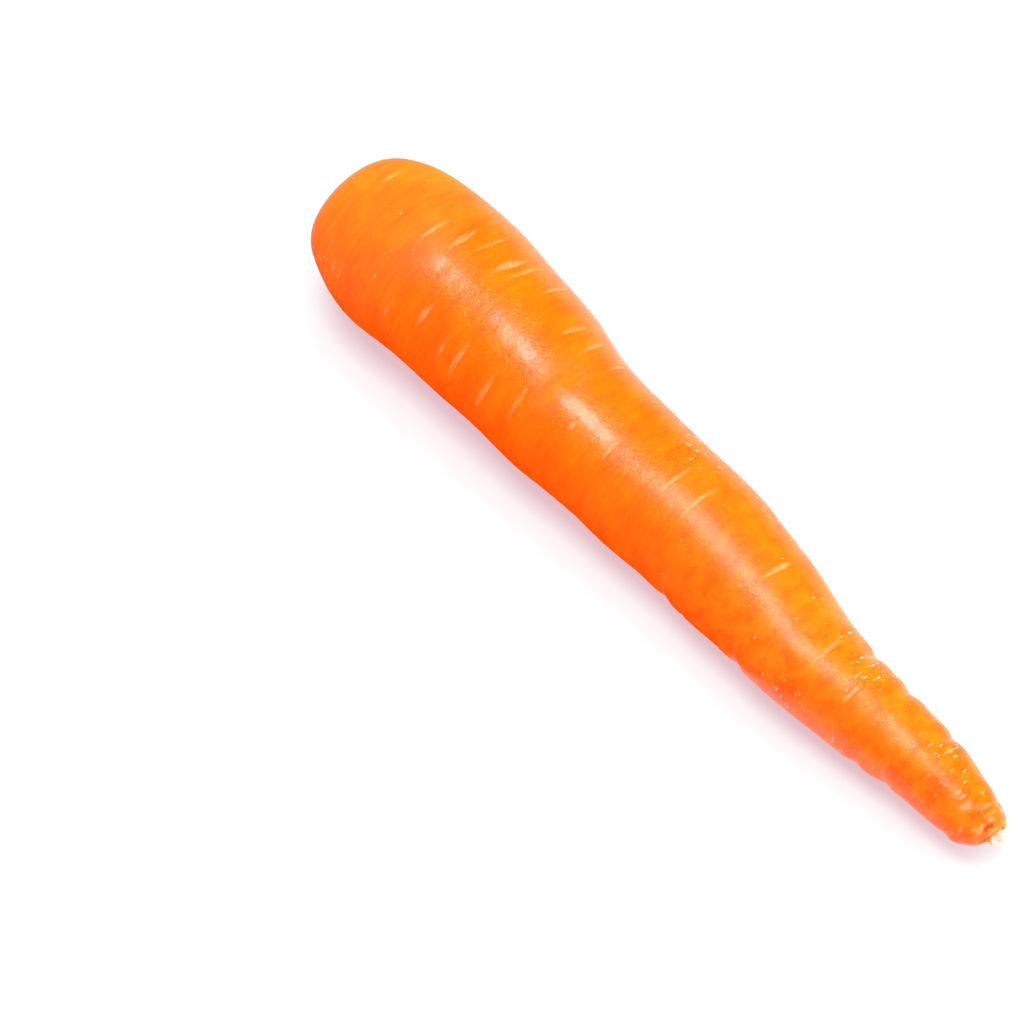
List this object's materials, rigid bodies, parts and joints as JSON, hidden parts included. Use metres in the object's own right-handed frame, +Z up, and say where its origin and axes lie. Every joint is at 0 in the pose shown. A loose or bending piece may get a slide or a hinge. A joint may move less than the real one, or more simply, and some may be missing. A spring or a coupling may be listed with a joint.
{
  "type": "carrot",
  "caption": "Whole fresh carrot root with its leaves trimmed off at the crown, lying on its side, with side-root scars, ring creases and a blunt broken tip.",
  "frame": {"origin": "on the surface that the carrot rests on, under the middle of its outer box", "axes": "+X along the root from the crown to the tip, +Z up, +Y to the side"},
  "size_m": [0.2044, 0.0406, 0.0384],
  "materials": {
    "carrot_skin": "moist satin carrot skin, orange, with paler root scars",
    "cut_stalk": "matte, dry cut leaf-stalk bases, pale brown with a green band"
  },
  "bodies": {
    "root": {"carrot_root": "carrot_skin", "leaf_stalk_stubs": "cut_stalk"}
  },
  "joints": []
}
